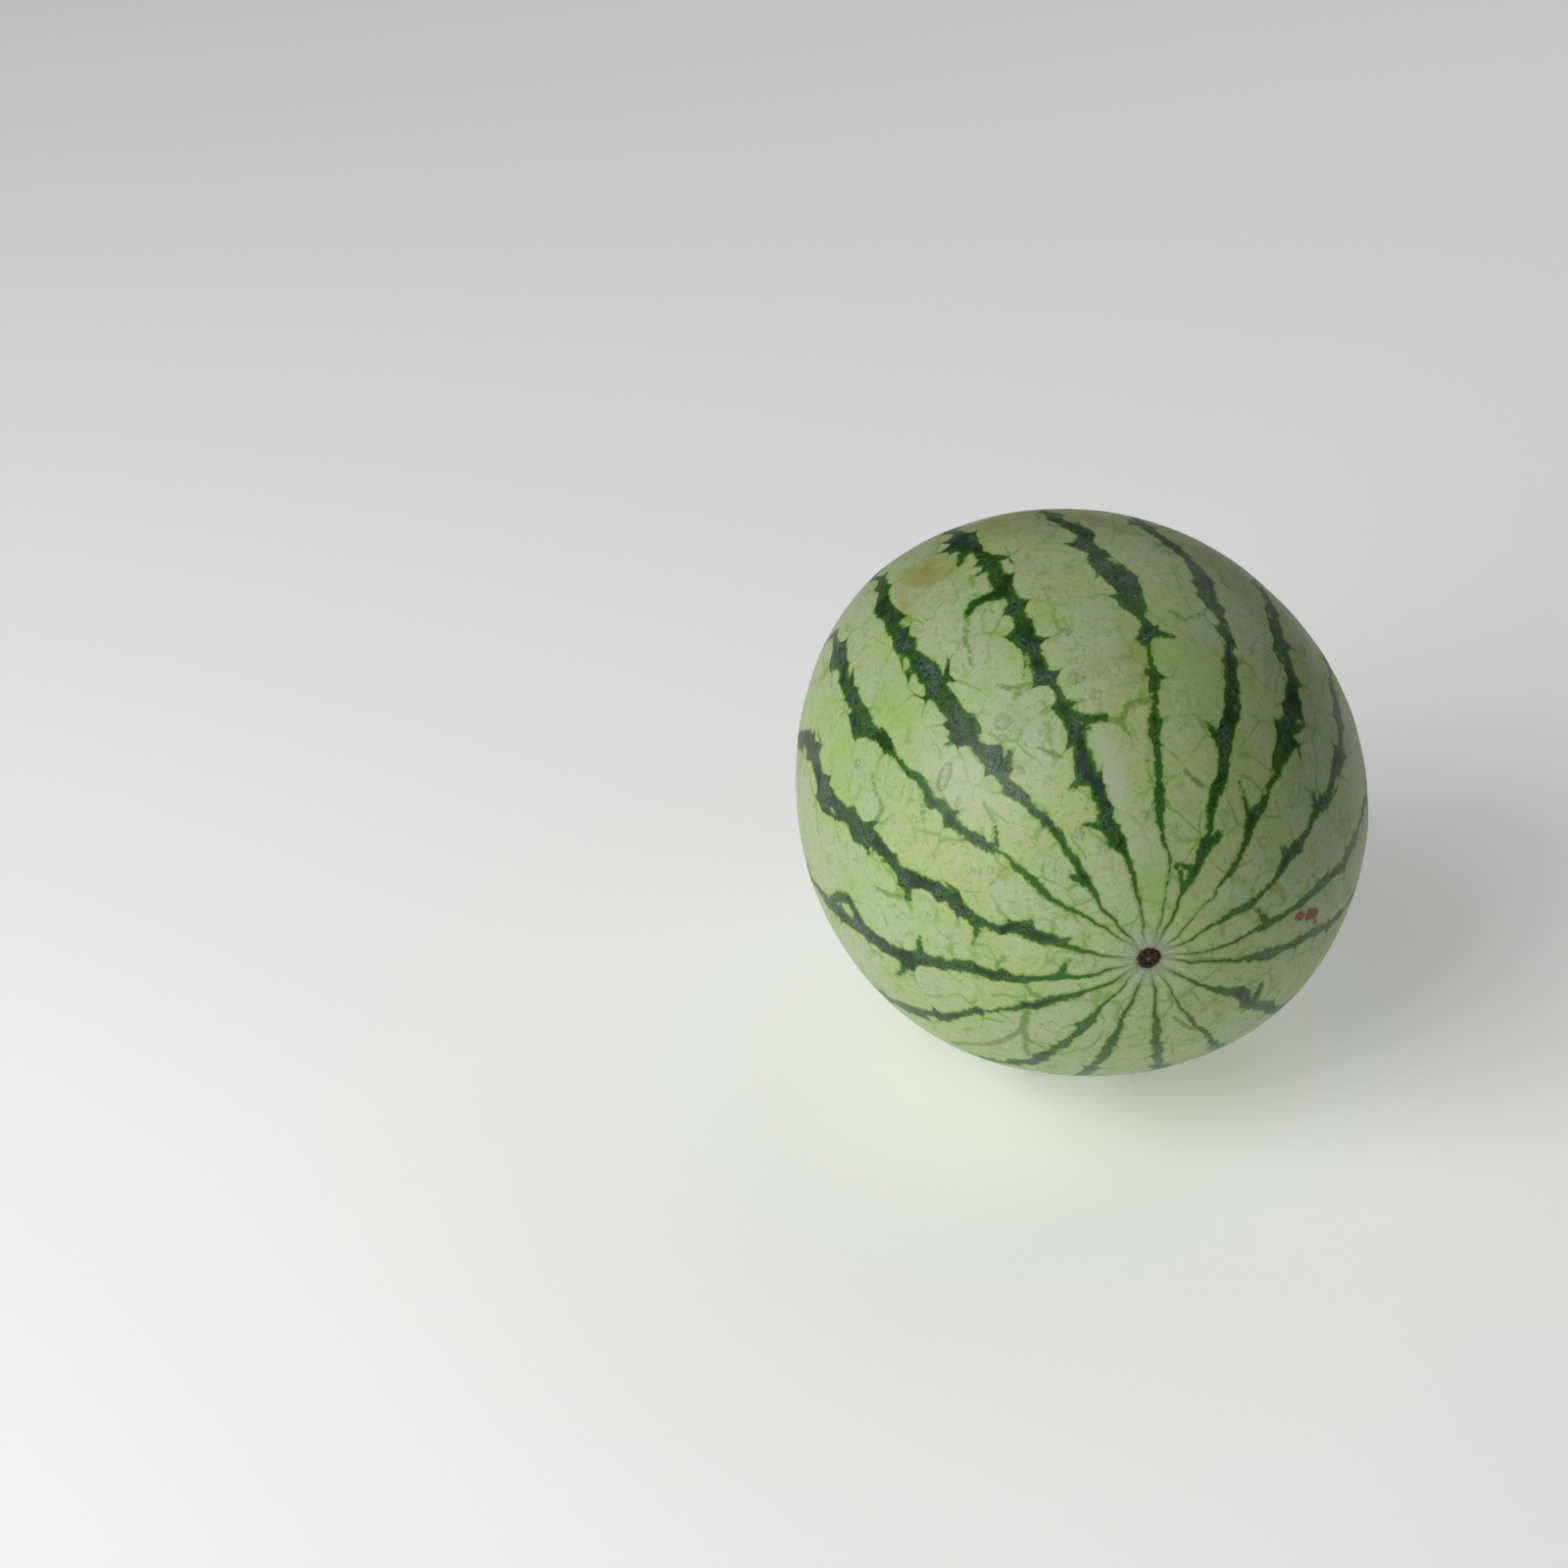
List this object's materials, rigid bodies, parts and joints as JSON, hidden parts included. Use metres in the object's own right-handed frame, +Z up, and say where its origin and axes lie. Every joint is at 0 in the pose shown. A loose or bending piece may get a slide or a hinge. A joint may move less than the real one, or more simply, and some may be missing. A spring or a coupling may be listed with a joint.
{
  "type": "watermelon",
  "caption": "Whole small round watermelon lying on its side, with pale green rind, thin dark lacy stripes, a blossom scar at one end and a dry stalk stub at the other.",
  "frame": {"origin": "on the resting plane, under the middle of the whole object's box", "axes": "+Y along the fruit's long axis towards the stem end, the blossom end faces -Y, +Z up, +X to the right when looking at the blossom end"},
  "size_m": [0.1786, 0.1902, 0.1775],
  "materials": {
    "rind": "satin",
    "dry_stalk": "matte"
  },
  "bodies": {
    "root": {"watermelon": "rind", "stem_stub": "dry_stalk"}
  },
  "joints": []
}
